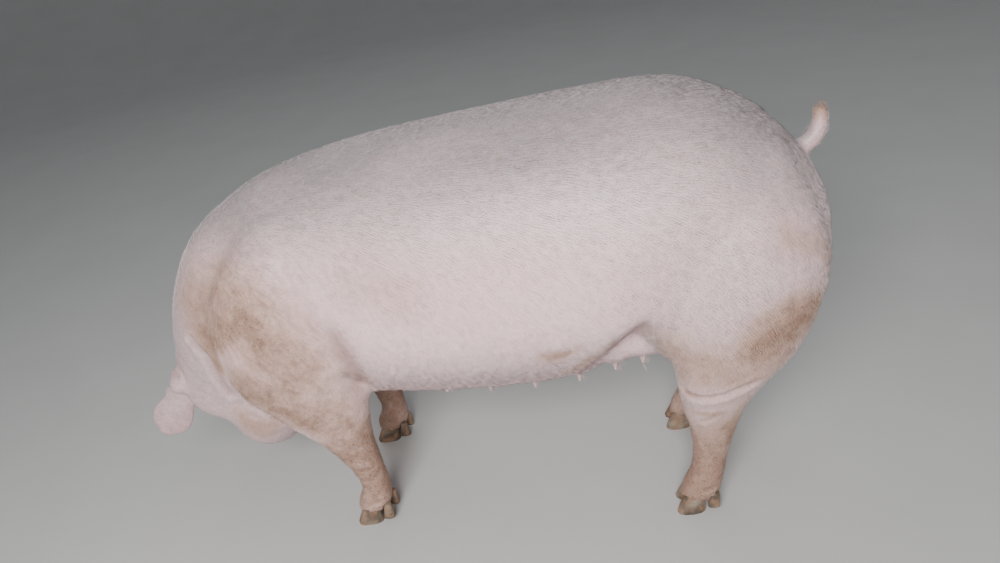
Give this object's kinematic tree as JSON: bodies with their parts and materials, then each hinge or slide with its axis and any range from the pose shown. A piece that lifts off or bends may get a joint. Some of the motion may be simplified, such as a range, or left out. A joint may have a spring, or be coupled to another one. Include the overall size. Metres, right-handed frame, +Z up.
{
  "type": "sow",
  "caption": "Standing adult pig at life size, head lowered and turned aside, with lop ears, udder, cloven feet and a short raised tail.",
  "frame": {"origin": "on the floor, under the centre of the whole animal's box", "axes": "+Z up; the trunk runs along X with the head end towards -X; the animal's right side and its muzzle are towards +Y"},
  "size_m": [1.5028, 0.534, 0.8975],
  "materials": {
    "skin": "pinkish white skin under short white bristles, soiled in places",
    "ear_skin": "thin pink skin, redder towards the rim and tip",
    "snout_skin": "moist pink rooting disc",
    "horn": "dull brown horn, muddy",
    "eye": "wet dark brown"
  },
  "bodies": {
    "root": {"torso": "skin", "neck": "skin", "head": "skin", "tail": "skin", "front_leg_left": "skin", "front_leg_right": "skin", "hind_leg_left": "skin", "hind_leg_right": "skin", "ear_left": "ear_skin", "ear_right": "ear_skin", "snout": "snout_skin", "eye_left": "eye", "eye_right": "eye", "front_left_claw_inner": "horn", "front_left_claw_outer": "horn", "front_left_dewclaw_inner": "horn", "front_left_dewclaw_outer": "horn", "front_right_claw_inner": "horn", "front_right_claw_outer": "horn", "front_right_dewclaw_inner": "horn", "front_right_dewclaw_outer": "horn", "hind_left_claw_inner": "horn", "hind_left_claw_outer": "horn", "hind_left_dewclaw_inner": "horn", "hind_left_dewclaw_outer": "horn", "hind_right_claw_inner": "horn", "hind_right_claw_outer": "horn", "hind_right_dewclaw_inner": "horn", "hind_right_dewclaw_outer": "horn"}
  },
  "joints": []
}
